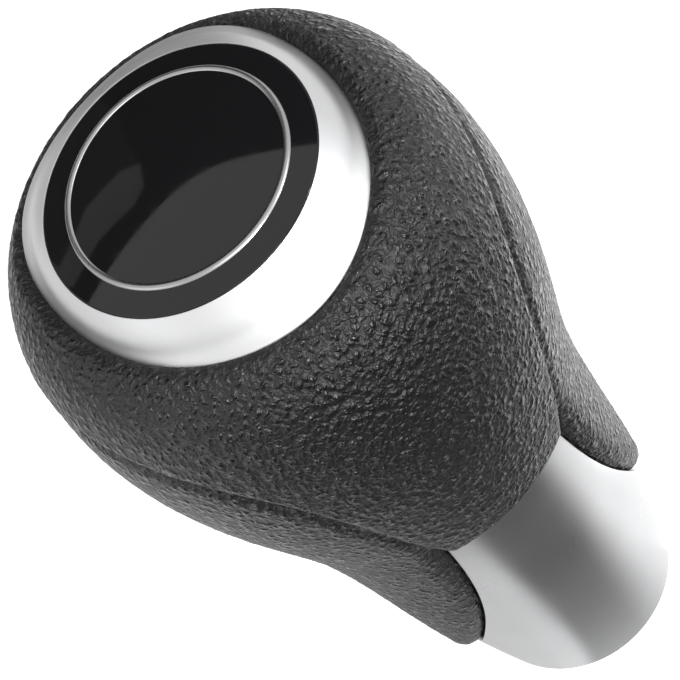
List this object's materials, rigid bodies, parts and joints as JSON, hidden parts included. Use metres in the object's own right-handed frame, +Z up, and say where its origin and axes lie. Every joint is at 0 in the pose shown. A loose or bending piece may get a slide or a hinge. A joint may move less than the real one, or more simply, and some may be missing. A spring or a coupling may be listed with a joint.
{
  "type": "gear shift knob",
  "caption": "Pear-shaped gear shift knob with a grained soft grip, side lobes let into a tapered satin collar, a satin bezel and a domed gloss lens; screws on to a shift lever.",
  "frame": {"origin": "centre of the collar's lower rim, on the lever's axis; the knob stands on that rim", "axes": "+Z up the lever's axis to the lens, -Y towards the driver (the front panel), +X to the right-hand side of the front panel"},
  "size_m": [0.0494, 0.0502, 0.1004],
  "materials": {
    "grip_leather": "fine pebble grain, satin sheen",
    "core_plastic": "moulded, matte",
    "insert_brass": "turned",
    "collar_satin": "satin",
    "bezel_satin": "satin",
    "lens_gloss": "polished",
    "pad_rubber": "foam tape"
  },
  "bodies": {
    "root": {"grip_skin": "grip_leather", "grip_core": "core_plastic", "lever_insert": "insert_brass", "collar_sleeve": "collar_satin", "bezel_ring": "bezel_satin", "cap_lens": "lens_gloss", "lens_pad": "pad_rubber"}
  },
  "joints": []
}
